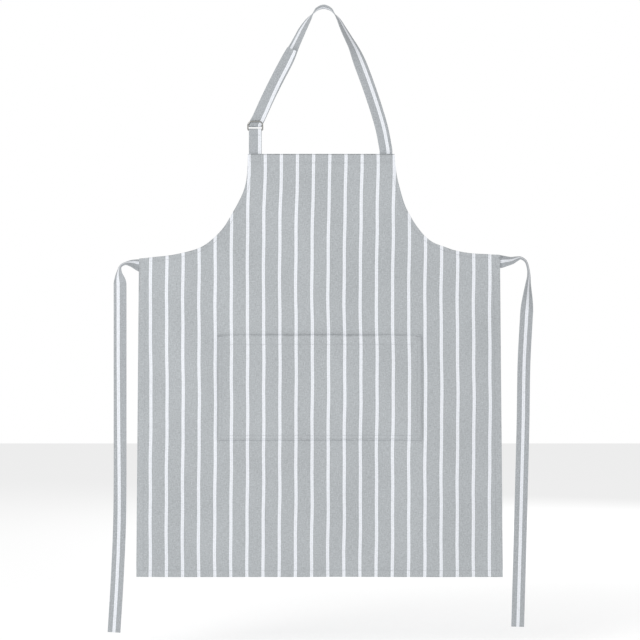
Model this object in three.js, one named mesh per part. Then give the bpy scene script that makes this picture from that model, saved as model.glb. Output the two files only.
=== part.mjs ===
// Butcher apron with a striped drill body, a kangaroo pocket, an adjustable neck strap on two D-rings
// and two waist ties. It hangs by its neck loop: the origin is the inside of the loop's top, +Z is up,
// the front faces -Y, and left is -X. All sizes are in millimetres.
import * as THREE from "three";

// Cloth and tape
const CLOTH = 0.8;
const LAYER_GAP = 0.3;
const TAPE_WIDTH = 25;
const TAPE_THICKNESS = 1.6;
const BUTT_GAP = 1.0;

// Body of the apron
const PANEL_CENTRE = -6;
const BIB_WIDTH = 286;
const BIB_HEIGHT = 200;
const WAIST_WIDTH = 706;
const HEM_WIDTH = 714;
const PANEL_LENGTH = 825;
const BIB_DROP = 286;
const ARMHOLE_PULL_TOP = 125;
const ARMHOLE_PULL_SIDE = 153;
const ARMHOLE_RISE = 4;
const ARMHOLE_STEPS = 14;
const ARMHOLE_SAMPLES = 400;

// Hems
const BIB_HEM = 20;
const SIDE_HEM = 14;
const BOTTOM_HEM = 14;
const ARMHOLE_HEM = 9;

// Pocket
const POCKET_WIDTH = 398;
const POCKET_HEIGHT = 199;
const POCKET_DROP = 351;
const POCKET_SEAM = 12;
const POCKET_MOUTH_HEM = 20;
const POCKET_BELLY = 10;

// D-rings and the tab that holds them
const RING_WIRE = 2.6;
const RING_HEIGHT = 20;
const RING_SIDE_PLAY = 0.5;
const RING_CORNER = 3;
const RING_SHOULDER = 6.5;
const RING_LIFT = 46;
const RING_LEAN = 1;
const BAR_GAP = 0.3;
const TAB_PLAY = 0.5;
const STRAP_PLAY = 1;
const TURN_DROP = 6.8;
const TAB_THROAT = 6;

// Neck strap
const STRAP_INSET = 3;
const STRAP_FRINGE = 6.5;
const SEWN_LAP = 22;
const SEWN_GAP = 2.5;
const APEX_ROLL = 95;
const ARM_SINK = 1.5;
const ROLL_DROP = 125;
const TAIL_LENGTH = 154;
const TAIL_FORWARD = 13;
const END_HEM = 10;

// Waist ties
const TIE_LAP = 15;
const TIE_PIVOT_OUT = 1.5;
const TIE_START_GAP = 1.5;
const TIE_BEND_GAP = 2.5;

// Sewing thread
const THREAD = 0.8;
const THREAD_RISE = 0.4;
const STITCH_INSET = 2.5;
const SECOND_ROW_INSET = 8.75;

// The neck strap's arms, from the top of the loop down: shares of the arm's reach and of its drop
const RIGHT_ARM = [
  [0.115, 0.018], [0.169, 0.046], [0.238, 0.087], [0.318, 0.155], [0.403, 0.223],
  [0.486, 0.291], [0.615, 0.428], [0.784, 0.632], [0.928, 0.837], [0.985, 0.96],
];
const LEFT_ARM = [
  [0.115, 0.02], [0.162, 0.047], [0.249, 0.108], [0.345, 0.193], [0.42, 0.278],
  [0.547, 0.449], [0.688, 0.619], [0.829, 0.788], [0.93, 0.917], [0.985, 0.963],
];

// Each tie's route from the middle of its seam: millimetres outwards from the side edge and downwards.
// Its tape rolls up on edge to pass the bend and rolls flat again as it hangs.
const TIES = {
  left: {
    side: -1,
    bend: 34,
    roll: { peak: 85, rise: 30, hold: 42, flat: 90 },
    route: [
      [16.6, -0.2], [28.3, 0.3], [37, 6], [38.6, 18.5], [36.5, 38.2], [36.3, 67.5], [36.3, 186.5],
      [36.3, 301.5], [37, 500.5], [41, 613.5], [47.2, 716.5],
    ],
  },
  right: {
    side: 1,
    bend: 44,
    roll: { peak: 92, rise: 38, hold: 62, flat: 180 },
    route: [
      [19.5, -3.4], [29.3, -5.5], [37, -8], [46.8, -2.8], [51.7, 8.9], [53.2, 24.5], [52.8, 40.1],
      [51.7, 79.1], [49.7, 118.1], [45.8, 196.1], [43.9, 313.1], [41, 430.1], [38, 547.1],
      [33.7, 706],
    ],
  },
};

// Places worked out from the sizes above
const BIB_TOP = -BIB_DROP;
const WAIST = BIB_TOP - BIB_HEIGHT;
const HEM = BIB_TOP - PANEL_LENGTH;
const HEM_LAYER = CLOTH + LAYER_GAP;
const TAPE_LAYER = HEM_LAYER + CLOTH + LAYER_GAP;
const TAPE_CENTRE = TAPE_LAYER + TAPE_THICKNESS / 2;
const SECOND_TAPE_LAYER = TAPE_LAYER + TAPE_THICKNESS + LAYER_GAP;
const TAB_CENTRE = TAPE_LAYER + TAPE_THICKNESS + LAYER_GAP / 2;
const RING_X = PANEL_CENTRE - BIB_WIDTH / 2 + STRAP_INSET + TAPE_WIDTH / 2;
const STRAP_X = PANEL_CENTRE + BIB_WIDTH / 2 - STRAP_INSET - TAPE_WIDTH / 2;
const BAR_Z = BIB_TOP + RING_LIFT;
const BAR_STEP = (RING_WIRE + BAR_GAP) / 2;
const FRONT_BAR_Y = TAB_CENTRE - BAR_STEP;
const BACK_BAR_Y = TAB_CENTRE + BAR_STEP;
const LAYER_STEP = RING_WIRE / 2 + STRAP_PLAY + TAPE_THICKNESS / 2;
const FRONT_ARCH_Y = FRONT_BAR_Y - RING_LEAN;
const TAIL_Y = FRONT_ARCH_Y + LAYER_STEP;
const BACK_ARCH_Y = TAIL_Y + LAYER_STEP;
const INCOMING_Y = BACK_ARCH_Y + LAYER_STEP;
const ARCH_RISE = RING_HEIGHT - RING_WIRE;
const TURN_Z = BAR_Z + ARCH_RISE - TURN_DROP;
const RING_HALF = TAPE_WIDTH / 2 + RING_SIDE_PLAY + RING_WIRE / 2;

const ACROSS = new THREE.Vector3(1, 0, 0);
const BACKWARDS = new THREE.Vector3(0, 1, 0);
const FORWARDS = new THREE.Vector3(0, -1, 0);

const finish = (color, roughness, metalness = 0) => {
  return new THREE.MeshStandardMaterial({ color, roughness, metalness });
};
const FINISHES = {
  drill: () => finish(0xb8bcbf, 0.9),
  tape: () => finish(0xb2b6ba, 0.9),
  thread: () => finish(0xc9cccf, 0.7),
  nickel: () => finish(0xc4c2bd, 0.25, 1),
};

const apron = new THREE.Group();

function addPiece(name, geometry, look) {
  const piece = new THREE.Mesh(geometry, FINISHES[look]());
  piece.name = name;
  apron.add(piece);
  return piece;
}

// A flat sheet cut to an outline in X and Z, from its front face backwards.
function sheet(outline, front, thickness) {
  const geometry = new THREE.ExtrudeGeometry(outline, {
    depth: thickness,
    bevelEnabled: false,
    curveSegments: 1,
  });
  geometry.rotateX(Math.PI / 2);
  geometry.translate(0, front + thickness, 0);
  return geometry;
}

function evenSteps(from, to, count) {
  return Array.from({ length: count + 1 }, (_, i) => THREE.MathUtils.lerp(from, to, i / count));
}

function onCircle(x, y, radius, degrees) {
  const angle = THREE.MathUtils.degToRad(degrees);
  return [x + radius * Math.cos(angle), y + radius * Math.sin(angle)];
}

function rectangle(left, right, bottom, top) {
  const outline = new THREE.Shape();
  outline.moveTo(left, bottom);
  outline.lineTo(right, bottom);
  outline.lineTo(right, top);
  outline.lineTo(left, top);
  return outline;
}

// A tape along a curve. widthAt gives the direction of its width at a point with a tangent. A tape
// that twists needs strips across its width, or its two faces cut through each other.
function tape(curve, widthAt, { from = 0, to = 1, steps, strips = 1, thickness = TAPE_THICKNESS }) {
  const geometry = new THREE.BoxGeometry(TAPE_WIDTH, thickness, 1, strips, 1, steps);
  const corners = geometry.attributes.position;
  for (let i = 0; i < corners.count; i += 1) {
    const share = THREE.MathUtils.lerp(from, to, corners.getZ(i) + 0.5);
    const place = curve.getPointAt(share);
    const along = curve.getTangentAt(share);
    const across = widthAt(place, along, share);
    across.addScaledVector(along, -across.dot(along)).normalize();
    const through = new THREE.Vector3().crossVectors(along, across);
    place.addScaledVector(across, corners.getX(i));
    place.addScaledVector(through, corners.getY(i));
    corners.setXYZ(i, place.x, place.y, place.z);
  }
  geometry.computeVertexNormals();
  return geometry;
}

// The width of a tape that lies in the X-Z plane, rolled about its own length by an angle in degrees.
function rolledWidth(along, degrees) {
  const flat = new THREE.Vector3().crossVectors(along, FORWARDS).normalize();
  const angle = THREE.MathUtils.degToRad(degrees);
  return flat.multiplyScalar(Math.cos(angle)).addScaledVector(BACKWARDS, Math.sin(angle));
}

// A sheet on a grid of columns and rows, with its front face at the depth that depthAt gives.
function mouldedSheet(columns, rows, depthAt, thickness) {
  const across = columns.length - 1;
  const down = rows.length - 1;
  const geometry = new THREE.BoxGeometry(1, thickness, 1, across, 1, down);
  const corners = geometry.attributes.position;
  for (let i = 0; i < corners.count; i += 1) {
    const x = columns[Math.round((corners.getX(i) + 0.5) * across)];
    const z = rows[Math.round((corners.getZ(i) + 0.5) * down)];
    const y = depthAt(x, z) + thickness / 2 + corners.getY(i);
    corners.setXYZ(i, x, y, z);
  }
  geometry.computeVertexNormals();
  return geometry;
}

// Round wire along a closed outline, centred on the bar and leaning back by a distance at its top.
function wireRing(outline, lean, sides, steps) {
  const geometry = new THREE.TorusGeometry(1, RING_WIRE / 4, sides, steps);
  const corners = geometry.attributes.position;
  const shares = geometry.attributes.uv;
  const places = outline.getSpacedPoints(steps).slice(0, steps);
  for (let i = 0; i < corners.count; i += 1) {
    const step = Math.round(shares.getX(i) * steps) % steps;
    const place = places[step];
    const next = places[(step + 1) % steps];
    const last = places[(step + steps - 1) % steps];
    const out = new THREE.Vector2(next.y - last.y, last.x - next.x).normalize();
    const turn = shares.getY(i) * Math.PI * 2;
    const reach = (RING_WIRE / 2) * Math.cos(turn);
    const x = place.x + out.x * reach;
    const z = place.y + out.y * reach;
    const y = -(RING_WIRE / 2) * Math.sin(turn) + (lean * place.y) / ARCH_RISE;
    corners.setXYZ(i, x, y, z);
  }
  geometry.computeVertexNormals();
  return geometry;
}

// ---- Body of the apron ----

// The armhole's edge on one side (-1 left, +1 right), from the bib corner to the waist corner.
function armholeCurve(side) {
  const bib = PANEL_CENTRE + (side * BIB_WIDTH) / 2;
  const waist = PANEL_CENTRE + (side * WAIST_WIDTH) / 2;
  return new THREE.CubicBezierCurve(
    new THREE.Vector2(bib, BIB_TOP),
    new THREE.Vector2(bib, BIB_TOP - ARMHOLE_PULL_TOP),
    new THREE.Vector2(waist - side * ARMHOLE_PULL_SIDE, WAIST + ARMHOLE_RISE),
    new THREE.Vector2(waist, WAIST),
  );
}

// The side edge's X at a height, and its inset line for hems and seams.
function sideEdge(side, z) {
  const share = (WAIST - z) / (WAIST - HEM);
  return PANEL_CENTRE + (side * THREE.MathUtils.lerp(WAIST_WIDTH, HEM_WIDTH, share)) / 2;
}

function buildPanel() {
  const outline = new THREE.Shape();
  const right = armholeCurve(1).getPoints(ARMHOLE_STEPS);
  const left = armholeCurve(-1).getPoints(ARMHOLE_STEPS);
  outline.moveTo(sideEdge(-1, HEM), HEM);
  outline.lineTo(sideEdge(1, HEM), HEM);
  right.reverse().forEach((point) => outline.lineTo(point.x, point.y));
  left.forEach((point) => outline.lineTo(point.x, point.y));
  addPiece("apron_panel", sheet(outline, 0, CLOTH), "drill");
}

// A strip between two lines that run beside the armhole, inset from its edge. It ends at a height
// below the bib and at a distance from the panel's centre line.
function armholeStrip(side, outer, inner, top, reach) {
  const curve = armholeCurve(side);
  const inset = (share, distance) => {
    const place = curve.getPoint(share);
    const along = curve.getTangent(share);
    const x = place.x + side * along.y * distance;
    return new THREE.Vector2(x, place.y - side * along.x * distance);
  };
  const shares = evenSteps(0, 1, ARMHOLE_SAMPLES).filter((share) => {
    const edge = inset(share, inner);
    const fits = edge.y <= top && inset(share, outer).y <= top;
    return fits && side * (edge.x - PANEL_CENTRE) <= reach;
  });
  const steps = evenSteps(shares[0], shares[shares.length - 1], ARMHOLE_STEPS);
  const outerLine = steps.map((share) => inset(share, outer));
  const innerLine = steps.map((share) => inset(share, inner)).reverse();
  return new THREE.Shape([...outerLine, ...innerLine]);
}

// A strip down one side edge, between two insets and two heights.
function sideStrip(side, outer, inner, bottom, top) {
  const outline = new THREE.Shape();
  outline.moveTo(sideEdge(side, bottom) - side * outer, bottom);
  outline.lineTo(sideEdge(side, bottom) - side * inner, bottom);
  outline.lineTo(sideEdge(side, top) - side * inner, top);
  outline.lineTo(sideEdge(side, top) - side * outer, top);
  return outline;
}

function buildHems() {
  const bibLeft = PANEL_CENTRE - BIB_WIDTH / 2;
  const bibRight = PANEL_CENTRE + BIB_WIDTH / 2;
  const bibHem = rectangle(bibLeft, bibRight, BIB_TOP - BIB_HEM, BIB_TOP);
  addPiece("bib_hem", sheet(bibHem, HEM_LAYER, CLOTH), "drill");

  const hemLeft = sideEdge(-1, HEM);
  const hemRight = sideEdge(1, HEM);
  const bottomHem = rectangle(hemLeft, hemRight, HEM, HEM + BOTTOM_HEM);
  addPiece("bottom_hem", sheet(bottomHem, HEM_LAYER, CLOTH), "drill");

  const armholeTop = BIB_TOP - BIB_HEM - BUTT_GAP;
  const armholeReach = WAIST_WIDTH / 2 - SIDE_HEM - BUTT_GAP;
  const sideTop = WAIST - BUTT_GAP;
  const sideBottom = HEM + BOTTOM_HEM + BUTT_GAP;
  [["left", -1], ["right", 1]].forEach(([name, side]) => {
    const armhole = armholeStrip(side, 0, ARMHOLE_HEM, armholeTop, armholeReach);
    addPiece(`${name}_armhole_hem`, sheet(armhole, HEM_LAYER, CLOTH), "drill");
    const edge = sideStrip(side, 0, SIDE_HEM, sideBottom, sideTop);
    addPiece(`${name}_side_hem`, sheet(edge, HEM_LAYER, CLOTH), "drill");
  });
}

// Rows of stitches are thin strips on the cloth that they hold.
function buildHemThreads() {
  const front = -LAYER_GAP - THREAD_RISE;
  const row = (name, outline) => addPiece(name, sheet(outline, front, THREAD_RISE), "thread");
  const bibRow = BIB_TOP - BIB_HEM + STITCH_INSET;
  const bibEnd = BIB_WIDTH / 2 - STITCH_INSET * 2;
  const bibLeft = PANEL_CENTRE - bibEnd;
  const bibRight = PANEL_CENTRE + bibEnd;
  row("bib_hem_thread", rectangle(bibLeft, bibRight, bibRow - THREAD, bibRow));

  const bottomRow = HEM + BOTTOM_HEM - STITCH_INSET;
  const bottomLeft = sideEdge(-1, bottomRow) + SIDE_HEM;
  const bottomRight = sideEdge(1, bottomRow) - SIDE_HEM;
  row("bottom_hem_thread", rectangle(bottomLeft, bottomRight, bottomRow, bottomRow + THREAD));

  const armholeInset = ARMHOLE_HEM - STITCH_INSET;
  const armholeTop = bibRow - THREAD - STITCH_INSET;
  const armholeReach = WAIST_WIDTH / 2 - SIDE_HEM - STITCH_INSET;
  const sideInset = SIDE_HEM - STITCH_INSET;
  const sideTop = WAIST - armholeInset - TAPE_WIDTH;
  const sideBottom = bottomRow + THREAD + STITCH_INSET;
  [["left", -1], ["right", 1]].forEach(([name, side]) => {
    const inner = armholeInset + THREAD;
    const armholeRow = armholeStrip(side, armholeInset, inner, armholeTop, armholeReach);
    row(`${name}_armhole_thread`, armholeRow);
    const sideRow = sideStrip(side, sideInset, sideInset + THREAD, sideBottom, sideTop);
    row(`${name}_side_thread`, sideRow);
  });
}

// ---- Pocket ----

const POCKET_TOP = BIB_TOP - POCKET_DROP;
const POCKET_BOTTOM = POCKET_TOP - POCKET_HEIGHT;
const POCKET_FRONT = -LAYER_GAP - CLOTH - LAYER_GAP - CLOTH;

// How far the pocket stands forward of its seams: nothing at the seams and most in its mouth.
function pocketBelly(x, z) {
  const half = POCKET_WIDTH / 2 - POCKET_SEAM;
  const across = Math.max(0, 1 - ((x - PANEL_CENTRE) / half) ** 2);
  const up = Math.max(0, (z - POCKET_BOTTOM - POCKET_SEAM) / (POCKET_HEIGHT - POCKET_SEAM));
  return POCKET_BELLY * across * Math.sin((up * Math.PI) / 2);
}

function buildPocket() {
  const half = POCKET_WIDTH / 2;
  const left = PANEL_CENTRE - half;
  const right = PANEL_CENTRE + half;
  const inner = evenSteps(left + POCKET_SEAM, right - POCKET_SEAM, 12);
  const columns = [left, ...inner, right];
  const mouth = POCKET_TOP - POCKET_MOUTH_HEM;
  const rows = [POCKET_BOTTOM, ...evenSteps(POCKET_BOTTOM + POCKET_SEAM, mouth, 6), POCKET_TOP];
  const depthAt = (x, z) => POCKET_FRONT - pocketBelly(x, z);
  addPiece("pocket_patch", mouldedSheet(columns, rows, depthAt, CLOTH), "drill");

  const behind = (x, z) => depthAt(x, z) + CLOTH + LAYER_GAP;
  const hem = mouldedSheet(inner, [mouth, POCKET_TOP], behind, CLOTH);
  addPiece("pocket_mouth_hem", hem, "drill");

  // The turned-in edge of the patch, under its left, bottom and right seams.
  const fold = POCKET_SEAM - BUTT_GAP;
  addPiece("pocket_turned_edge", sheet(pocketBand(0, fold), -LAYER_GAP - CLOTH, CLOTH), "drill");
}

// A U-shaped band round the pocket's sides and bottom, between two insets from its edge.
function pocketBand(outer, inner, top = POCKET_TOP) {
  const left = PANEL_CENTRE - POCKET_WIDTH / 2;
  const right = PANEL_CENTRE + POCKET_WIDTH / 2;
  const band = new THREE.Shape();
  band.moveTo(left + outer, top);
  band.lineTo(left + outer, POCKET_BOTTOM + outer);
  band.lineTo(right - outer, POCKET_BOTTOM + outer);
  band.lineTo(right - outer, top);
  band.lineTo(right - inner, top);
  band.lineTo(right - inner, POCKET_BOTTOM + inner);
  band.lineTo(left + inner, POCKET_BOTTOM + inner);
  band.lineTo(left + inner, top);
  return band;
}

function buildPocketThreads() {
  const front = POCKET_FRONT - LAYER_GAP - THREAD_RISE;
  const rowTop = POCKET_TOP - STITCH_INSET * 2;
  [["outer", STITCH_INSET], ["inner", SECOND_ROW_INSET]].forEach(([name, inset]) => {
    const band = pocketBand(inset, inset + THREAD, rowTop);
    addPiece(`pocket_seam_thread_${name}`, sheet(band, front, THREAD_RISE), "thread");
  });

  const mouthRow = POCKET_TOP - POCKET_MOUTH_HEM;
  const half = POCKET_WIDTH / 2 - POCKET_SEAM;
  const columns = evenSteps(PANEL_CENTRE - half, PANEL_CENTRE + half, 12);
  const rows = [mouthRow, mouthRow + THREAD];
  const depthAt = (x) => front - pocketBelly(x, mouthRow + THREAD);
  const thread = mouldedSheet(columns, rows, depthAt, THREAD_RISE);
  addPiece("pocket_mouth_thread", thread, "thread");

  [["left", -1], ["right", 1]].forEach(([name, side]) => {
    const corner = PANEL_CENTRE + side * (POCKET_WIDTH / 2);
    const ends = [corner - side * BUTT_GAP, corner - side * POCKET_SEAM];
    const top = POCKET_TOP - BUTT_GAP;
    const tack = rectangle(Math.min(...ends), Math.max(...ends), top - THREAD * 2, top);
    addPiece(`${name}_pocket_bartack`, sheet(tack, front, THREAD_RISE), "thread");
  });
}

// ---- Neck strap ----

function strapRoll(place) {
  return APEX_ROLL * THREE.MathUtils.clamp(1 + place.z / ROLL_DROP, 0, 1);
}

function strapWidth(place, along) {
  return rolledWidth(along, strapRoll(place));
}

// The left arm's places from the top of the loop down, as it sinks back to pass behind the rings.
function leftArmPoints() {
  const drop = TAPE_THICKNESS / 2 - TURN_Z;
  return LEFT_ARM.map(([across, down]) => {
    const depth = INCOMING_Y * down ** ARM_SINK;
    return new THREE.Vector3(RING_X * across, depth, TAPE_THICKNESS / 2 - drop * down);
  });
}

function neckStrapCurve() {
  const top = TAPE_THICKNESS / 2;
  const drop = top - (BIB_TOP + STRAP_FRINGE);
  const right = RIGHT_ARM.map(([across, down]) => {
    return new THREE.Vector3(STRAP_X * across, TAPE_CENTRE * down, top - drop * down);
  });
  const seam = new THREE.Vector3(STRAP_X, TAPE_CENTRE, BIB_TOP + STRAP_FRINGE);
  const left = leftArmPoints();
  const rings = [
    new THREE.Vector3(RING_X, INCOMING_Y, TURN_Z + RING_WIRE),
    new THREE.Vector3(RING_X, INCOMING_Y, TURN_Z + LAYER_GAP),
  ];
  return new THREE.CatmullRomCurve3(
    [seam, ...right.reverse(), new THREE.Vector3(0, 0, top), ...left, ...rings],
    false,
    "centripetal",
  );
}

// The tail runs up in front of the left arm, standing a little further forward towards its free end.
function tailCurve() {
  const start = new THREE.Vector3(RING_X, TAIL_Y, TURN_Z + LAYER_GAP);
  const arch = new THREE.Vector3(RING_X, TAIL_Y, BAR_Z + ARCH_RISE);
  const clear = BAR_Z + RING_HEIGHT + RING_WIRE;
  const above = leftArmPoints().reverse().filter((place) => place.z > clear);
  above.forEach((place) => {
    place.y = TAIL_Y - (TAIL_FORWARD * (place.z - start.z)) / TAIL_LENGTH;
  });
  return new THREE.CatmullRomCurve3([start, arch, ...above], false, "centripetal");
}

function buildNeckStrap() {
  const strap = tape(neckStrapCurve(), strapWidth, { steps: 90, strips: 3 });
  addPiece("neck_strap", strap, "tape");

  // The strap turns round the back ring's arch and comes out between the two rings.
  const turn = new THREE.EllipseCurve(
    BACK_ARCH_Y, TURN_Z, LAYER_STEP, LAYER_STEP, 0, Math.PI, true,
  );
  const turnPoints = turn.getPoints(10).map((point) => new THREE.Vector3(RING_X, point.x, point.y));
  const turnCurve = new THREE.CatmullRomCurve3(turnPoints, false, "centripetal");
  addPiece("strap_turn", tape(turnCurve, () => ACROSS.clone(), { steps: 12 }), "tape");

  const tail = tailCurve();
  const length = tail.getLength();
  const end = (TAIL_LENGTH + END_HEM) / length;
  addPiece("strap_tail", tape(tail, () => ACROSS.clone(), { to: end, steps: 22 }), "tape");
  const fold = tape(tail, () => ACROSS.clone(), {
    from: end - END_HEM / length,
    to: end,
    steps: 2,
    thickness: CLOTH,
  });
  const forwards = TAPE_THICKNESS / 2 + LAYER_GAP + CLOTH / 2;
  fold.translate(0, -forwards, 0);
  addPiece("strap_tail_end_hem", fold, "tape");

  const top = BIB_TOP - SEWN_GAP;
  const half = TAPE_WIDTH / 2;
  const sewn = rectangle(STRAP_X - half, STRAP_X + half, top - SEWN_LAP, top);
  addPiece("neck_strap_sewn_end", sheet(sewn, TAPE_LAYER, TAPE_THICKNESS), "tape");
}

// ---- D-rings and tab ----

function ringOutline() {
  const inner = RING_HALF - RING_CORNER;
  const outline = new THREE.Path();
  outline.moveTo(-inner, 0);
  outline.lineTo(inner, 0);
  outline.absarc(inner, RING_CORNER, RING_CORNER, -Math.PI / 2, 0, false);
  const top = RING_HALF - RING_SHOULDER;
  const shoulder = ARCH_RISE - RING_SHOULDER;
  outline.lineTo(RING_HALF, shoulder);
  outline.absarc(top, shoulder, RING_SHOULDER, 0, Math.PI / 2, false);
  outline.lineTo(-top, ARCH_RISE);
  outline.absarc(-top, shoulder, RING_SHOULDER, Math.PI / 2, Math.PI, false);
  outline.lineTo(-RING_HALF, RING_CORNER);
  outline.absarc(-inner, RING_CORNER, RING_CORNER, Math.PI, Math.PI * 1.5, false);
  return outline;
}

function buildRings() {
  const rings = [
    ["d_ring_front", FRONT_BAR_Y, FRONT_ARCH_Y - FRONT_BAR_Y],
    ["d_ring_back", BACK_BAR_Y, BACK_ARCH_Y - BACK_BAR_Y],
  ];
  rings.forEach(([name, depth, lean]) => {
    const ring = addPiece(name, wireRing(ringOutline(), lean, 8, 44), "nickel");
    ring.position.set(RING_X, depth, BAR_Z);
  });
}

function buildTab() {
  // The tab rises in two layers, opens round both bars and closes over them.
  const wall = RING_WIRE / 2 + TAB_PLAY + TAPE_THICKNESS / 2;
  const throat = BAR_Z - wall - TAB_THROAT;
  const bottom = BIB_TOP + STRAP_FRINGE;
  const frontLayer = TAPE_CENTRE;
  const backLayer = SECOND_TAPE_LAYER + TAPE_THICKNESS / 2;
  const overFront = evenSteps(200, 90, 6).map((angle) => onCircle(FRONT_BAR_Y, BAR_Z, wall, angle));
  const overBack = evenSteps(90, -20, 6).map((angle) => onCircle(BACK_BAR_Y, BAR_Z, wall, angle));
  const places = [
    [frontLayer, bottom], [frontLayer, (bottom + throat) / 2], [frontLayer, throat],
    ...overFront,
    ...overBack,
    [backLayer, throat], [backLayer, (bottom + throat) / 2], [backLayer, bottom],
  ];
  const points = places.map(([y, z]) => new THREE.Vector3(RING_X, y, z));
  const fold = new THREE.CatmullRomCurve3(points, false, "centripetal");
  addPiece("ring_tab", tape(fold, () => ACROSS.clone(), { steps: 64 }), "tape");

  const half = TAPE_WIDTH / 2;
  const top = BIB_TOP - SEWN_GAP;
  const sewn = rectangle(RING_X - half, RING_X + half, top - SEWN_LAP, top);
  addPiece("ring_tab_sewn_front", sheet(sewn, TAPE_LAYER, TAPE_THICKNESS), "tape");
  addPiece("ring_tab_sewn_back", sheet(sewn, SECOND_TAPE_LAYER, TAPE_THICKNESS), "tape");

  // A row of stitches across the tab keeps the bars in its fold.
  const row = throat;
  const reach = half - STITCH_INSET;
  const stitches = rectangle(RING_X - reach, RING_X + reach, row - THREAD, row);
  const front = TAPE_LAYER - LAYER_GAP - THREAD_RISE;
  addPiece("ring_tab_bar_thread", sheet(stitches, front, THREAD_RISE), "thread");
}

// A box of stitches through a sewn end, on the front of the apron.
function boxStitch(name, left, right, bottom, top) {
  const frame = rectangle(left, right, bottom, top);
  frame.holes.push(rectangle(left + THREAD, right - THREAD, bottom + THREAD, top - THREAD));
  addPiece(name, sheet(frame, -LAYER_GAP - THREAD_RISE, THREAD_RISE), "thread");
}

function buildStrapThreads() {
  const reach = TAPE_WIDTH / 2 - STITCH_INSET;
  const top = BIB_TOP - SEWN_GAP - BUTT_GAP;
  const bottom = BIB_TOP - BIB_HEM + STITCH_INSET * 2;
  boxStitch("neck_strap_box_stitch", STRAP_X - reach, STRAP_X + reach, bottom, top);
  boxStitch("ring_tab_box_stitch", RING_X - reach, RING_X + reach, bottom, top);
}

// ---- Waist ties ----

function tieCurve({ side, route }) {
  const edge = sideEdge(side, WAIST);
  const start = new THREE.Vector3(edge, TAPE_CENTRE, WAIST - TAPE_WIDTH / 2 - BUTT_GAP);
  const points = route.map(([out, down]) => {
    return new THREE.Vector3(edge + side * out, TAPE_CENTRE, start.z - down);
  });
  return new THREE.CatmullRomCurve3([start, ...points], false, "centripetal");
}

function tieRoll({ peak, rise, hold, flat }, distance) {
  const up = THREE.MathUtils.smoothstep(distance, 0, rise);
  const down = 1 - THREE.MathUtils.smoothstep(distance, hold, flat);
  return peak * up * down;
}

function buildTie(name, tie) {
  const { side, bend, roll } = tie;
  const curve = tieCurve(tie);
  const length = curve.getLength();
  const widthAt = (place, along, share) => {
    return rolledWidth(along, -side * tieRoll(roll, share * length));
  };
  const start = (TIE_PIVOT_OUT + TIE_START_GAP) / length;
  const rootEnd = (bend - TIE_BEND_GAP) / length;
  const tailStart = (bend + TIE_BEND_GAP) / length;
  const root = tape(curve, widthAt, { from: start, to: rootEnd, steps: 16, strips: 4 });
  addPiece(`${name}_tie_root`, root, "tape");
  const tail = tape(curve, widthAt, { from: tailStart, steps: 100, strips: 3 });
  addPiece(`${name}_tie_tail`, tail, "tape");

  const fold = tape(curve, widthAt, { from: 1 - END_HEM / length, steps: 2, thickness: CLOTH });
  fold.translate(0, TAPE_THICKNESS / 2 + LAYER_GAP + CLOTH / 2, 0);
  addPiece(`${name}_tie_end_hem`, fold, "tape");

  const edge = sideEdge(side, WAIST);
  const ends = [edge - side * TIE_LAP, edge];
  const top = WAIST - BUTT_GAP;
  const low = Math.min(...ends);
  const high = Math.max(...ends);
  const sewn = rectangle(low, high, top - TAPE_WIDTH, top);
  addPiece(`${name}_tie_sewn_end`, sheet(sewn, TAPE_LAYER, TAPE_THICKNESS), "tape");

  const inset = STITCH_INSET;
  const boxTop = top - ARMHOLE_HEM + STITCH_INSET - BUTT_GAP - THREAD;
  const boxBottom = top - TAPE_WIDTH + inset;
  boxStitch(`${name}_tie_box_stitch`, low + inset, high - inset, boxBottom, boxTop);
}

buildPanel();
buildHems();
buildHemThreads();
buildPocket();
buildPocketThreads();
buildNeckStrap();
buildRings();
buildTab();
buildStrapThreads();
Object.entries(TIES).forEach(([name, tie]) => buildTie(name, tie));

export default apron;
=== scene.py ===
"""A butcher apron of striped drill: body, pocket, neck strap on two D-rings and two waist ties."""
import math

import bpy
import numpy as np
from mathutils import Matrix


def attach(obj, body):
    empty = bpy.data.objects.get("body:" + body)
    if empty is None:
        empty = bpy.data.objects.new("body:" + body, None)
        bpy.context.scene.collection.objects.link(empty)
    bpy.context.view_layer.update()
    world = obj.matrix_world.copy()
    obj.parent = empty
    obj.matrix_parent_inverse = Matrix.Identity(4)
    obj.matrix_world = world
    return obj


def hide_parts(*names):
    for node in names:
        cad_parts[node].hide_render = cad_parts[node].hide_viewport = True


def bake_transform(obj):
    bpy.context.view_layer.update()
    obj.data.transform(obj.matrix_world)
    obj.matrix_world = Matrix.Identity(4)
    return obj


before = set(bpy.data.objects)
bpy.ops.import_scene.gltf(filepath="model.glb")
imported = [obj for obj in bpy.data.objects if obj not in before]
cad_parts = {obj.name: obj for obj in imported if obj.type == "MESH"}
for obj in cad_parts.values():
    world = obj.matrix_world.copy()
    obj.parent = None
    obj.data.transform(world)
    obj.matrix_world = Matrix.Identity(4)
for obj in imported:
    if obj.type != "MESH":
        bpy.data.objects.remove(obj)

bl_info = {
    "name": "Butcher Apron",
    "version": (1, 0, 0),
    "blender": (4, 5, 0),
    "location": "View3D > Sidebar > Apron",
    "description": "Makes a striped butcher apron that hangs by its neck loop",
    "category": "Add Mesh",
}

MM = 0.001
PATTERN = "pattern"

# Heights and places of the cut pieces, in millimetres
BIB_TOP = -286.2
HEM = -1111.0
POCKET_LAYER = -1.5
HEM_WIDTHS = {"bib": 20, "bottom": 14, "side": 14, "armhole": 9}
POCKET = {"left": -207.6, "right": 191.0, "top": -640.0, "bottom": -844.0}
POCKET_SEAM = 12.0
POCKET_BELLY = 2.2
POCKET_MOUTH_HEM = 20.0
FOLD_STEPS = 7
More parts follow.
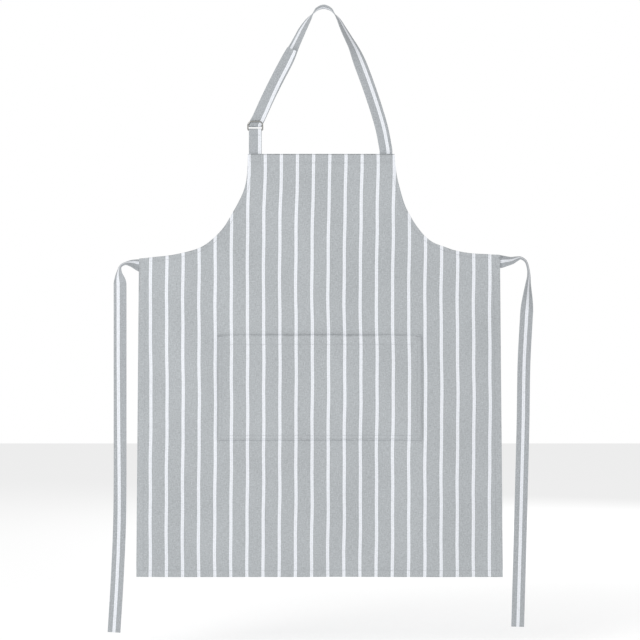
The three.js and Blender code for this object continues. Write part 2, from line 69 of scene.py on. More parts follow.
# A full turn, as the twill was matched with it: more digits would shift the weave.
TWILL_TURN = 6.2832
TAPE_BACK = 3.0
TAB_BACK = 4.9
RING_X = -133.5
STRAP_X = 121.5
BAR_Z = -240.0
FRONT_BAR_Y = 2.5
BACK_BAR_Y = 5.4
FRONT_ARCH_Y = 1.5
TAIL_Y = 4.6
BACK_ARCH_Y = 7.7
INCOMING_Y = 10.8
RING_RISE = 17.4
RING_HALF = 14.3
TURN_Z = -229.4
TURN_RADIUS = 3.1
TAIL_LENGTH = 164.0
END_HEM = 10.0
TAPE_END = -310.5
BIB_SEAM = -279.5
BIB_FOLD = (-281, -291)

# The panel's edge below each bib corner: millimetres outwards and downwards
RIGHT_ARMHOLE = [
    (0, 0), (4, 40), (11.5, 72), (20, 99.5), (29, 118), (44, 142), (59, 160), (76, 173), (94, 180),
    (121, 189), (151, 194), (178, 195.5), (205.5, 196.5),
]
LEFT_ARMHOLE = [
    (0, 0), (2, 47), (8, 72), (21, 99.5), (31, 117), (46, 142), (61, 159), (80.5, 175.5), (96, 184),
    (123, 192), (153, 198), (182, 201), (212, 204),
]
BIB_LEFT, BIB_RIGHT = -148.0, 138.0
HEM_LEFT, HEM_RIGHT = -365.5, 349.0

# The neck strap's arms from the top of the loop down: shares of the reach and of the drop
RIGHT_ARM = [
    (0.115, 0.018), (0.169, 0.046), (0.238, 0.087), (0.318, 0.155), (0.403, 0.223), (0.486, 0.291),
    (0.615, 0.428), (0.784, 0.632), (0.928, 0.837), (0.985, 0.96),
]
LEFT_ARM = [
    (0.1, 0.02), (0.143, 0.047), (0.22, 0.108), (0.309, 0.193), (0.382, 0.278), (0.529, 0.449),
    (0.684, 0.619), (0.829, 0.788), (0.931, 0.917), (0.97, 0.963),
]

# How far each arm has rolled about its own length: heights in millimetres and degrees
LEFT_ARM_ROLL = [
    (-130, 0), (-112, 3), (-98, 14), (-84, 31), (-70, 42), (-45, 51), (-25, 66), (-10, 89),
    (1, 100),
]
RIGHT_ARM_ROLL = [
    (-130, 0), (-112, 8), (-95, 24), (-74, 44), (-45, 59), (-25, 72), (-10, 89), (1, 100),
]

# Each tie: which side it is on, where its seam is, how it rolls along its length, and its route
# outwards from the side edge and downwards
TIES = {
    "left": {
        "side": -1, "edge": -359.0, "seam_rise": -3.5, "split": 17.0, "bend": 34.0,
        "roll": (77, 28, 38, 74), "stripe": (4.0, 0.5),
        "route": [
            (16.6, -0.2), (28.3, 0.3), (37.5, 6), (40, 18.5), (38.5, 38.2), (38.3, 67.5),
            (38.3, 186.5), (38.3, 301.5), (39.2, 500.5), (43.8, 613.5), (50.2, 720),
        ],
    },
    "right": {
        "side": 1, "edge": 347.0, "seam_rise": 3.5, "split": 22.0, "bend": 44.0,
        "roll": (77, 36, 62, 150), "stripe": (0.0, 0.0),
        "route": [
            (19.5, -5.6), (29.3, -9), (37, -10.6), (46.8, -4.4), (51.7, 8.9), (53.2, 24.5),
            (52, 40.1), (50, 79.1), (47.7, 118.1), (43.8, 196.1), (41.9, 313.1), (39, 430.1),
            (36, 547.1), (31.5, 709),
        ],
    },
}
SEAM_Z = -499.5

# How far the stripes' middle line stands left of the apron's, going down, in millimetres
STRIPE_WANDER = [
    (286, 3.4), (320, 3.8), (395, 5.8), (570, 7.1), (660, 6.2), (770, 5.9), (870, 6.8), (960, 6.9),
    (1060, 7.5), (1111, 7.5),
]


# ---------------------------------------------------------------- settings

def size(name, default, description):
    return bpy.props.FloatProperty(
        name=name, default=default, description=description, unit="LENGTH", precision=5
    )


def colour(name, default, description):
    return bpy.props.FloatVectorProperty(
        name=name, default=default, description=description, subtype="COLOR", size=4, min=0, max=1
    )


class ApronSizes(bpy.types.PropertyGroup):
    cloth: size("Cloth", 0.0008, "Thickness of one layer of drill")
    tape_width: size("Tape width", 0.025, "Width of the strap, the tab and the ties")
    tape: size("Tape", 0.0016, "Thickness of the folded tape")
    wire: size("Ring wire", 0.0026, "Diameter of the D-rings' wire")
    stripe_pitch: size("Stripe pitch", 0.0315, "Distance from one white stripe to the next")
    stripe_width: size("Stripe width", 0.0062, "Width of a white stripe")
    thread: size("Thread", 0.00055, "Thickness of the sewing thread")
    stitch: size("Stitch", 0.0033, "Length of one stitch with its gap")
    flute: size("Flutes", 0.0034, "Depth of the soft folds in the hanging skirt")


class ApronColours(bpy.types.PropertyGroup):
    ground: colour("Ground", (0.452, 0.476, 0.494, 1), "The grey yarn of the drill")
    stripe: colour("Stripe", (0.86, 0.885, 0.93, 1), "The white yarn of the stripes")
    tape_ground: colour("Tape ground", (0.418, 0.441, 0.461, 1), "The grey of the folded tape")
    thread: colour("Thread", (0.455, 0.475, 0.495, 1), "The sewing thread")
    nickel: colour("Nickel", (0.40, 0.395, 0.375, 1), "The plating of the D-rings")


class ApronStudio(bpy.types.PropertyGroup):
    room: bpy.props.FloatProperty(
        name="Room light", default=0.6, description="Strength of the light from all around"
    )
    key: bpy.props.FloatProperty(
        name="Key light", default=44.0, description="Power of the soft light in front", unit="POWER"
    )
    floor: size("Floor", -1.262, "Height of the studio floor")


# ---------------------------------------------------------------- materials

def link(tree, source, target):
    tree.links.new(source, target)


def node(tree, kind, sets=None, **inputs):
    """A node with its settings and its inputs, which are named or numbered as i0, i1 and so on."""
    made = tree.nodes.new(kind)
    for name, value in (sets or {}).items():
        setattr(made, name, value)
    for name, value in inputs.items():
        key = int(name[1:]) if name[1:].isdigit() else name.replace("_", " ")
        socket = made.inputs[key]
        if isinstance(value, bpy.types.NodeSocket):
            link(tree, value, socket)
        else:
            socket.default_value = value
    return made


def math_node(tree, operation, first, second=0.0, third=0.0):
    made = node(tree, "ShaderNodeMath", sets={"operation": operation}, i0=first, i1=second)
    if operation == "MULTIPLY_ADD":
        made.inputs[2].default_value = third
    return made.outputs[0]


def ramp(tree, value, low, high, to_low=0.0, to_high=1.0):
    made = node(
        tree, "ShaderNodeMapRange", sets={"interpolation_type": "SMOOTHSTEP"},
        i0=value, i1=low, i2=high, i3=to_low, i4=to_high,
    )
    return made.outputs[0]


def mix(tree, share, first, second):
    made = tree.nodes.new("ShaderNodeMix")
    made.data_type = "RGBA"
    for index, value in ((0, share), (6, first), (7, second)):
        if isinstance(value, bpy.types.NodeSocket):
            link(tree, value, made.inputs[index])
        else:
            made.inputs[index].default_value = value
    return made.outputs[2]


SURFACE_OUTPUTS = [
    ("Color", "NodeSocketColor"), ("Height", "NodeSocketFloat"), ("Roughness", "NodeSocketFloat"),
]


def new_group(name, inputs, outputs):
    tree = bpy.data.node_groups.new(name, "ShaderNodeTree")
    for label, kind, value in inputs:
        socket = tree.interface.new_socket(label, in_out="INPUT", socket_type=kind)
        socket.default_value = value
    for label, kind in outputs:
        tree.interface.new_socket(label, in_out="OUTPUT", socket_type=kind)
    return tree, tree.nodes.new("NodeGroupInput"), tree.nodes.new("NodeGroupOutput")


def drill_group():
    """Striped drill: stripes, diagonal weave and uneven yarn, on the cloth's own UV map."""
    found = bpy.data.node_groups.get("Striped drill")
    if found:
        return found
    tree, given, out = new_group(
        "Striped drill",
        [
            ("Ground", "NodeSocketColor", (0.45, 0.48, 0.5, 1)),
            ("Stripe", "NodeSocketColor", (0.9, 0.9, 0.9, 1)),
            ("Pitch", "NodeSocketFloat", 0.0315),
            ("Width", "NodeSocketFloat", 0.0062),
            ("Yarn", "NodeSocketFloat", 0.0009),
            ("Heather", "NodeSocketFloat", 0.1),
        ],
        SURFACE_OUTPUTS,
    )
    uv = node(tree, "ShaderNodeUVMap", sets={"uv_map": PATTERN}).outputs[0]
    parts = node(tree, "ShaderNodeSeparateXYZ", i0=uv)
    across, along = parts.outputs[0], parts.outputs[1]

    # Stripes: their edges waver by a fraction of a yarn
    flat_noise = {"noise_dimensions": "2D"}
    waver = node(tree, "ShaderNodeTexNoise", sets=flat_noise, i0=uv, Scale=900.0, Detail=1.0)
    shifted = math_node(tree, "MULTIPLY_ADD", waver.outputs[0], 0.0006)
    link(tree, across, shifted.node.inputs[2])
    turns = math_node(tree, "DIVIDE", shifted, given.outputs["Pitch"])
    share = math_node(tree, "FRACT", turns)
    off = math_node(tree, "ABSOLUTE", math_node(tree, "SUBTRACT", share, 0.5))
    reach = math_node(tree, "MULTIPLY", off, given.outputs["Pitch"])
    half_width = math_node(tree, "MULTIPLY", given.outputs["Width"], 0.5)
    beyond = math_node(tree, "SUBTRACT", reach, half_width)
    stripe = ramp(tree, beyond, 0.00035, -0.00035)
    from_cord = math_node(tree, "ABSOLUTE", math_node(tree, "SUBTRACT", beyond, 0.0009))
    cord = ramp(tree, from_cord, 0.0009, 0.0002)

    # Twill lines and single yarns
    slope = math_node(tree, "ADD", across, math_node(tree, "MULTIPLY", along, 1.25))
    rib_turns = math_node(tree, "MULTIPLY", slope, TWILL_TURN)
    rib = math_node(tree, "SINE", math_node(tree, "DIVIDE", rib_turns, given.outputs["Yarn"]))
    yarn_turns = math_node(tree, "MULTIPLY", across, 10.5)
    yarn = math_node(tree, "SINE", math_node(tree, "DIVIDE", yarn_turns, given.outputs["Yarn"]))
    weave = math_node(tree, "MULTIPLY_ADD", math_node(tree, "MULTIPLY", rib, yarn), 0.25, 0.5)

    # Uneven yarn: long vertical slubs, short ones across, and cloudy shade
    def streaks(x_scale, y_scale, detail):
        scaled = node(tree, "ShaderNodeMapping", i0=uv, i3=(x_scale, y_scale, 1.0)).outputs[0]
        settings = {"Scale": 1.0, "Detail": detail}
        return node(tree, "ShaderNodeTexNoise", sets=flat_noise, i0=scaled, **settings).outputs[0]

    warp = streaks(1100.0, 90.0, 2.0)
    weft = streaks(110.0, 900.0, 2.0)
    fleck = streaks(430.0, 360.0, 3.0)
    cloud = streaks(9.0, 7.0, 2.0)
    slubs = math_node(tree, "ADD", warp, weft)
    uneven = math_node(tree, "ADD", slubs, math_node(tree, "MULTIPLY", fleck, 1.6))
    uneven = math_node(tree, "SUBTRACT", uneven, 1.8)
    tone = math_node(tree, "MULTIPLY", uneven, given.outputs["Heather"])
    tone = math_node(tree, "ADD", tone, math_node(tree, "MULTIPLY_ADD", cloud, 0.14, -0.07))
    tone = math_node(tree, "ADD", tone, math_node(tree, "MULTIPLY_ADD", weave, 0.08, -0.04))
    grey = math_node(tree, "MULTIPLY_ADD", cord, -0.075, 1.0)
    grey = math_node(tree, "ADD", grey, tone)
    core = ramp(tree, reach, 0.0013, 0.0004, 0.0, -0.07)
    pale = math_node(tree, "ADD", math_node(tree, "MULTIPLY_ADD", tone, 0.5, 1.0), core)

    def shade(base, factor):
        vector = node(tree, "ShaderNodeVectorMath", sets={"operation": "SCALE"}, i0=base)
        link(tree, factor, vector.inputs[3])
        return vector.outputs[0]

    ground = shade(given.outputs["Ground"], grey)
    white = shade(given.outputs["Stripe"], pale)
    link(tree, mix(tree, stripe, ground, white), out.inputs["Color"])
    height = math_node(tree, "ADD", weave, math_node(tree, "MULTIPLY", uneven, 0.5))
    height = math_node(tree, "ADD", height, math_node(tree, "MULTIPLY", cord, -0.5))
    link(tree, height, out.inputs["Height"])
    link(tree, math_node(tree, "MULTIPLY_ADD", fleck, 0.14, 0.8), out.inputs["Roughness"])
    return tree


def wear_group():
    """Fine wear: rubbed patches and small marks on Object coordinates."""
    found = bpy.data.node_groups.get("Fine wear")
    if found:
        return found
    tree, given, out = new_group(
        "Fine wear",
        [("Colour", "NodeSocketColor", (0.7, 0.7, 0.7, 1)), ("Amount", "NodeSocketFloat", 0.2),
         ("Polish", "NodeSocketFloat", 0.2), ("Grain", "NodeSocketFloat", 300.0)],
        SURFACE_OUTPUTS,
    )
    place = node(tree, "ShaderNodeTexCoord").outputs["Object"]
    grain = given.outputs["Grain"]
    broad = node(tree, "ShaderNodeTexNoise", i0=place, Scale=grain, Detail=3.0).outputs[0]
    scratch = node(tree, "ShaderNodeMapping", i0=place, i3=(1.0, 4.0, 0.35)).outputs[0]
    fine = node(tree, "ShaderNodeTexNoise", i0=scratch, Scale=2600.0, Detail=2.0).outputs[0]
    worn = math_node(tree, "MULTIPLY", ramp(tree, broad, 0.45, 0.75), given.outputs["Amount"])
    factor = math_node(tree, "MULTIPLY_ADD", worn, -0.55, 1.0)
    base = given.outputs["Colour"]
    vector = node(tree, "ShaderNodeVectorMath", sets={"operation": "SCALE"}, i0=base)
    link(tree, factor, vector.inputs[3])
    link(tree, vector.outputs[0], out.inputs["Color"])
    link(tree, fine, out.inputs["Height"])
    rough = math_node(tree, "ADD", given.outputs["Polish"], math_node(tree, "MULTIPLY", worn, 0.5))
    rough = math_node(tree, "ADD", rough, math_node(tree, "MULTIPLY", fine, 0.05))
    link(tree, rough, out.inputs["Roughness"])
    return tree


def surface(name, group, values, bump, depth, **settings):
    """A material whose colour, roughness and relief come from a node group."""
    found = bpy.data.materials.get(name)
    if found:
        return found
    material = bpy.data.materials.new(name)
    material.use_nodes = True
    tree = material.node_tree
    shader = tree.nodes["Principled BSDF"]
    for label, value in settings.items():
        shader.inputs[label.replace("_", " ")].default_value = value
    pattern = tree.nodes.new("ShaderNodeGroup")
    pattern.node_tree = group
    for label, value in values.items():
        pattern.inputs[label].default_value = value
    height = pattern.outputs["Height"]
    relief = node(tree, "ShaderNodeBump", Strength=bump, Distance=depth, Height=height)
    link(tree, pattern.outputs["Color"], shader.inputs["Base Color"])
    link(tree, pattern.outputs["Roughness"], shader.inputs["Roughness"])
    link(tree, relief.outputs[0], shader.inputs["Normal"])
    return material


def drill_material(name="Striped drill cloth", ground=None, heather=0.33):
    scene = bpy.context.scene
    values = {
        "Ground": ground or scene.apron_colours.ground,
        "Stripe": scene.apron_colours.stripe,
        "Pitch": scene.apron_sizes.stripe_pitch,
        "Width": scene.apron_sizes.stripe_width,
        "Heather": heather,
    }
    return surface(
        name, drill_group(), values, 0.5, 0.0002, Sheen_Weight=0.12, Sheen_Roughness=0.6,
        Specular_IOR_Level=0.25,
    )


def tape_material():
    return drill_material("Striped drill tape", bpy.context.scene.apron_colours.tape_ground, 0.36)


def thread_material():
    colours = bpy.context.scene.apron_colours
    values = {"Colour": colours.thread, "Amount": 0.25, "Polish": 0.6, "Grain": 900.0}
    return surface("Sewing thread", wear_group(), values, 0.3, 0.0001, Sheen_Weight=0.2)


def nickel_material():
    colours = bpy.context.scene.apron_colours
    values = {"Colour": colours.nickel, "Amount": 0.35, "Polish": 0.2, "Grain": 260.0}
    return surface("Nickel plate", wear_group(), values, 0.05, 0.00005, Metallic=1.0)


# ---------------------------------------------------------------- lines and surfaces

def smooth_line(points, share=24):
    """A centripetal curve through the points, as many short chords."""
    p = np.array(points, float)
    p = np.vstack([2 * p[0] - p[1], p, 2 * p[-1] - p[-2]])
    line = []
    for a, b, c, d in zip(p[:-3], p[1:-2], p[2:-1], p[3:]):
        before, here, after = (
            max(np.linalg.norm(q - r) ** 0.5, 1e-6) for q, r in ((a, b), (b, c), (c, d))
        )
        start = ((b - a) / before - (c - a) / (before + here) + (c - b) / here) * here
        end = ((c - b) / here - (d - b) / (here + after) + (d - c) / after) * here
        t = np.linspace(0, 1, share, endpoint=False)[:, None]
        square = 3 * (c - b) - 2 * start - end
        cube = 2 * (b - c) + start + end
        line.append(b + start * t + square * t**2 + cube * t**3)
    line.append(p[-2:-1])
    return np.vstack(line)


def lengths(line):
    return np.concatenate([[0.0], np.cumsum(np.linalg.norm(np.diff(line, axis=0), axis=1))])


def at(line, distances):
    """Points of a line at these distances from its start."""
    run = lengths(line)
    return np.stack([np.interp(distances, run, line[:, k]) for k in range(line.shape[1])], axis=1)


def even(line, step):
    total = lengths(line)[-1]
    return at(line, np.linspace(0, total, max(2, int(round(total / step)) + 1)))


def ease(value, low, high):
    t = np.clip((np.asarray(value, float) - low) / (high - low), 0, 1)
    return t * t * (3 - 2 * t)


def unit(vectors):
    return vectors / np.maximum(np.linalg.norm(vectors, axis=-1, keepdims=True), 1e-12)


def hang(x, z):
    """How far the hanging cloth stands back from its plane at a place, in millimetres."""
    depth = bpy.context.scene.apron_sizes.flute / MM
    down = (BIB_TOP - z) / (BIB_TOP - HEM)
    skirt = ease(down, 0.12, 0.9)
    flutes = (
        0.62 * np.sin(x / 74.0 + 0.9 + 0.35 * np.sin(z / 190.0))
        + 0.30 * np.sin(x / 37.0 - z / 260.0 + 2.2)
        + 0.16 * np.sin(x / 21.0 + z / 170.0 + 0.4)
    )
    buckles = 0.28 * np.sin(x / 33.0 + 0.4) * ease(down, 0.02, 0.1) * (1 - ease(down, 0.14, 0.4))
    creases = 0.07 * np.sin(x / 11.0 + 2.0 * np.sin(z / 60.0)) * np.sin(z / 23.0 + x / 47.0)
    creases = creases + 0.05 * np.sin(z / 13.0 + 2.0 * np.sin(x / 52.0))
    corners = 1.0
    for corner_x, corner_z in ((-359.0, -500.0), (345.0, -500.0)):
        away = (x - corner_x) ** 2 + (z - corner_z) ** 2
        corners = corners * (1 - np.exp(-away / (2 * 55.0**2)))
    return depth * corners * (flutes * skirt + buckles + creases * ease(down, 0.01, 0.08))


def warp_u(x, z):
    """Distance of a place from the middle of the striped cloth, in millimetres."""
    heights, shifts = zip(*STRIPE_WANDER)
    drift = np.interp(-np.asarray(z, float), heights, shifts)
    return x + drift + 0.3 * np.sin(z / 47.0 + x / 95.0) + 0.3 * np.sin(z / 19.0 + x / 41.0)


def on_cloth(x, z, depth):
    """Points on the hanging apron at a depth behind its front face, in millimetres."""
    x, z, depth = np.broadcast_arrays(*(np.asarray(value, float) for value in (x, z, depth)))
    return np.stack([x, depth + hang(x, z), z], axis=-1)


def mesh_object(name, points, faces, uv, material, angle=48):
    """One closed solid from points in millimetres, with its pattern map in metres."""
    mesh = bpy.data.meshes.new(name)
    mesh.from_pydata((np.asarray(points) * MM).tolist(), [], faces)
    layer = mesh.uv_layers.new(name=PATTERN)
    corners = np.empty(len(mesh.loops), dtype=np.int32)
    mesh.loops.foreach_get("vertex_index", corners)
    layer.data.foreach_set("uv", (np.asarray(uv)[corners] * MM).astype(np.float32).ravel())
    mesh.materials.append(material)
    obj = bpy.data.objects.new(name, mesh)
    bpy.context.scene.collection.objects.link(obj)
    bpy.ops.object.select_all(action="DESELECT")
    obj.select_set(True)
    bpy.context.view_layer.objects.active = obj
    bpy.ops.object.shade_smooth_by_angle(angle=math.radians(angle))
    obj.select_set(False)
    return obj


def shell(name, centre, flat, thickness, material, angle=48):
    """A sheet of cloth: rows of places down it, columns across it, and a front and back skin."""
    rows, cols = centre.shape[:2]
    facing = unit(np.cross(np.gradient(centre, axis=0), np.gradient(centre, axis=1)))
    half = facing * (thickness / 2)
    points = np.concatenate([(centre + half).reshape(-1, 3), (centre - half).reshape(-1, 3)])
    f = np.arange(rows * cols).reshape(rows, cols)
    b = f + rows * cols
    quads = [
        np.stack([f[:-1, :-1], f[1:, :-1], f[1:, 1:], f[:-1, 1:]], -1),
        np.stack([b[:-1, :-1], b[:-1, 1:], b[1:, 1:], b[1:, :-1]], -1),
        np.stack([f[:-1, 0], b[:-1, 0], b[1:, 0], f[1:, 0]], -1),
        np.stack([f[:-1, -1], f[1:, -1], b[1:, -1], b[:-1, -1]], -1),
        np.stack([f[0, :-1], f[0, 1:], b[0, 1:], b[0, :-1]], -1),
        np.stack([f[-1, :-1], b[-1, :-1], b[-1, 1:], f[-1, 1:]], -1),
    ]
    faces = np.concatenate([q.reshape(-1, 4) for q in quads]).tolist()
    uv = flat.reshape(-1, 2)
    return mesh_object(name, points, faces, np.concatenate([uv, uv]), material, angle)


def tape_section(width, thickness, across=8, round_steps=4):
    """A flat tape with half-round edges, as a closed loop of places across and through it."""
    half, radius = width / 2 - thickness / 2, thickness / 2
    flat = np.linspace(-half, half, across + 1)
    turn = np.linspace(-math.pi / 2, math.pi / 2, round_steps + 2)[1:-1]
    loop = [(x, -radius) for x in flat]
    loop += [(half + radius * math.cos(a), radius * math.sin(a)) for a in turn]
    loop += [(x, radius) for x in flat[::-1]]
    loop += [(-half - radius * math.cos(a), -radius * math.sin(a)) for a in turn]
    return np.array(loop)


def swept(name, places, across, section, stripe, material):
    """A tape along places: across is its width direction, stripe how far its stripe is off."""
    along = unit(np.gradient(places, axis=0))
    across = unit(across - along * np.sum(across * along, axis=1, keepdims=True))
    through = np.cross(along, across)
    n, m = len(places), len(section)
    points = (
        places[:, None, :]
        + across[:, None, :] * section[None, :, 0, None]
        + through[:, None, :] * section[None, :, 1, None]
    ).reshape(-1, 3)
    index = np.arange(n * m).reshape(n, m)
    after = np.roll(index, -1, axis=1)
    quads = np.stack([index[:-1], after[:-1], after[1:], index[1:]], -1).reshape(-1, 4)
    faces = quads.tolist() + [index[0][::-1].tolist(), index[-1].tolist()]
    run = lengths(places)
    pitch = bpy.context.scene.apron_sizes.stripe_pitch / MM
    offset = np.broadcast_to(np.asarray(stripe, float), (n,))
    u = section[None, :, 0] - offset[:, None] + pitch / 2
    uv = np.stack([u, np.broadcast_to(run[:, None], (n, m))], -1).reshape(-1, 2)
    return mesh_object(name, points, faces, uv, material)


def declare(obj, body, nodes):
    """Hides the parts that a piece of cloth stands for and hangs the piece on the body it moves
    with; a piece between two bodies is only baked in place.
    """
    if nodes:
        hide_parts(*nodes)
    if isinstance(body, str):
        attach(obj, body)
    else:
        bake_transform(obj)


# ---------------------------------------------------------------- the cut pieces' outlines

def side_lines():
    """The panel's left and right edges from the bib corners down, as matching rows of points."""
    edges = []
    for sign, corner, armhole, hem in (
        (-1, BIB_LEFT, LEFT_ARMHOLE, HEM_LEFT), (1, BIB_RIGHT, RIGHT_ARMHOLE, HEM_RIGHT)
    ):
        upper = smooth_line([(corner + sign * out, BIB_TOP - down) for out, down in armhole])
        upper = at(upper, np.linspace(0, lengths(upper)[-1], 71))
        lower = np.linspace(upper[-1], (hem, HEM), 126)
        edges.append((upper, lower))
    return edges


def side_line(index):
    upper, lower = side_lines()[index]
    return np.vstack([upper, lower[1:]])


def inset(line, distance, sign):
    """A line moved inwards by a distance; sign is -1 for a left edge and 1 for a right edge."""
    along = unit(np.gradient(line, axis=0))
    inward = np.stack([along[:, 1], -along[:, 0]], axis=1) * sign
    return line + inward * distance, inward


# ---------------------------------------------------------------- operators

class APRON_OT_studio(bpy.types.Operator):
    """Add the camera, a pale floor and soft studio light"""

    bl_idname = "apron.studio"
    bl_label = "Studio"

    def execute(self, context):
        scene = context.scene
        bpy.ops.object.select_all(action="DESELECT")
        level = (math.radians(90), 0, 0)
        bpy.ops.object.camera_add(location=(-0.0072, -4.68, -0.610), rotation=level)
        camera = context.object
        camera.data.lens = 135
        camera.data.sensor_width = 36
        scene.camera = camera
        scene.view_settings.view_transform = "Standard"

        world = bpy.data.worlds.new("Studio")
        world.use_nodes = True
        scene.world = world
        tree = world.node_tree
        seen = tree.nodes["Background"]
        seen.inputs["Color"].default_value = (1, 1, 1, 1)
        seen.inputs["Strength"].default_value = 1.0
        lit = node(tree, "ShaderNodeBackground", Strength=scene.apron_studio.room)
        lit.inputs["Color"].default_value = (1, 1, 1, 1)
        rays = node(tree, "ShaderNodeLightPath").outputs["Is Camera Ray"]
        blend = node(tree, "ShaderNodeMixShader", i0=rays, i1=lit.outputs[0], i2=seen.outputs[0])
        link(tree, blend.outputs[0], tree.nodes["World Output"].inputs["Surface"])

        bpy.ops.mesh.primitive_plane_add(size=14, location=(0, 1, scene.apron_studio.floor))
        floor = context.object
        floor.name = "studio_floor"
        material = bpy.data.materials.new("Studio floor")
        material.use_nodes = True
        shader = material.node_tree.nodes["Principled BSDF"]
        shader.inputs["Base Color"].default_value = (0.9, 0.9, 0.9, 1)
        shader.inputs["Roughness"].default_value = 0.9
        shader.inputs["Specular IOR Level"].default_value = 0.0
        shader.inputs["Emission Color"].default_value = (1, 1, 1, 1)
        shader.inputs["Emission Strength"].default_value = 0.3
        floor.data.materials.append(material)
        for name, place, side, power in (
            ("studio_key", (-1.7, -2.9, 1.0), 1.6, scene.apron_studio.key),
            ("studio_back", (1.4, 3.0, 0.8), 2.4, scene.apron_studio.key * 0.55),
        ):
            bpy.ops.object.light_add(type="AREA", location=place)
            lamp = context.object
            lamp.name = name
            lamp.data.size = side
            lamp.data.energy = power
            aim = np.array([0, 0, -0.6]) - np.array(place)
            spin = math.atan2(aim[0], -aim[1])
            lamp.rotation_euler = (math.acos(-aim[2] / np.linalg.norm(aim)), 0, spin + math.pi)
        return {"FINISHED"}


class APRON_OT_body(bpy.types.Operator):
    """Cut the apron's body and hang it in soft flutes"""

    bl_idname = "apron.body"
    bl_label = "Body"

    def execute(self, context):
        sizes = context.scene.apron_sizes
        left, right = side_line(0), side_line(1)
        share = np.linspace(0, 1, 145)[None, :, None]
        places = left[:, None, :] * (1 - share) + right[:, None, :] * share
        x, z = places[..., 0], places[..., 1]
        cloth = sizes.cloth / MM
        centre = on_cloth(x, z, cloth / 2)
        flat = np.stack([warp_u(x, z), z], -1)
        body = shell("apron_body", centre, flat, cloth, drill_material())
        declare(
            body, "panel", ["apron_panel"],
        )
        return {"FINISHED"}


def fold_section(lip, rim, radius, height, reaches):
    """Cloth that comes up to an edge, turns round it and lies behind: places inwards and through.

    The second result is the distance of each place from the edge, along the cloth.
    """
    turn = np.linspace(-math.pi / 2, math.pi / 2, FOLD_STEPS)
    section = [(lip, 0.0)]
    section += [(rim - radius * math.cos(a), height + height * math.sin(a)) for a in turn]
    section = np.array(section + [(reach, 2 * height) for reach in reaches])
    run = lengths(section)
    return section, run - run[1 + FOLD_STEPS // 2]


class APRON_OT_hems(bpy.types.Operator):
    """Turn the hems over to the back of the body"""

    bl_idname = "apron.hems"
    bl_label = "Hems"

    def strip(self, name, line, inward, width, cloth, nodes, flat_size):
        """A hem that wraps round an edge and lies on the back."""
        section, run = fold_section(1.5, 0.65, 0.62, 0.62, np.linspace(1.6, width, 5))
        x = line[:, None, 0] + inward[:, None, 0] * section[None, :, 0]
        z = line[:, None, 1] + inward[:, None, 1] * section[None, :, 0]
        centre = on_cloth(x, z, section[None, :, 1] + cloth / 2)
        flat_x = line[:, None, 0] - inward[:, None, 0] * run[None, :]
        flat_z = line[:, None, 1] - inward[:, None, 1] * run[None, :]
        flat = np.stack([warp_u(flat_x, flat_z), flat_z], -1)
        obj = shell(name, centre, flat, cloth, drill_material())
        declare(obj, "panel", nodes)

    def execute(self, context):
        sizes = context.scene.apron_sizes
        cloth = sizes.cloth / MM
        top = np.linspace((BIB_RIGHT, BIB_TOP), (BIB_LEFT, BIB_TOP), 150)
        down = np.tile([0.0, -1.0], (len(top), 1))
        width = HEM_WIDTHS["bib"]
        self.strip("bib_top_hem", top, down, width, cloth, ["bib_hem"], (0.286, 0.0225))
        bottom = np.linspace((HEM_LEFT, HEM), (HEM_RIGHT, HEM), 300)
        up = np.tile([0.0, 1.0], (len(bottom), 1))
        width = HEM_WIDTHS["bottom"]
        self.strip("skirt_bottom_hem", bottom, up, width, cloth, ["bottom_hem"], (0.7145, 0.0165))
        for name, sign, (upper, lower) in zip(("left", "right"), (-1, 1), side_lines()):
            for label, part, line, cut in (
                ("armhole", "armhole_edge", smooth_line(upper[5:-4], 3), 0.0115),
                ("side", "skirt_side", lower[1:-3], 0.0165),
            ):
                _, inward = inset(line, 0, sign)
                if sign > 0:
                    line, inward = line[::-1], inward[::-1]
                flat_size = (cut, lengths(line)[-1] * MM)
                nodes = [f"{name}_{label}_hem"]
                width = HEM_WIDTHS[label]
                self.strip(f"{name}_{part}_hem", line, inward, width, cloth, nodes, flat_size)
        return {"FINISHED"}


def pocket_belly(x, z):
    """How far the pocket stands forward of its seams, in millimetres."""
    middle = (POCKET["left"] + POCKET["right"]) / 2
    half = (POCKET["right"] - POCKET["left"]) / 2 - POCKET_SEAM
    across = np.clip(1 - ((x - middle) / half) ** 2, 0, 1)
    rise = z - POCKET["bottom"] - POCKET_SEAM
    up = np.clip(rise / (POCKET["top"] - POCKET["bottom"] - POCKET_SEAM), 0, 1)
    soft = across * across * (3 - 2 * across) ** 0.5
    return POCKET_BELLY * soft * np.sin(up * math.pi / 2) ** 1.3


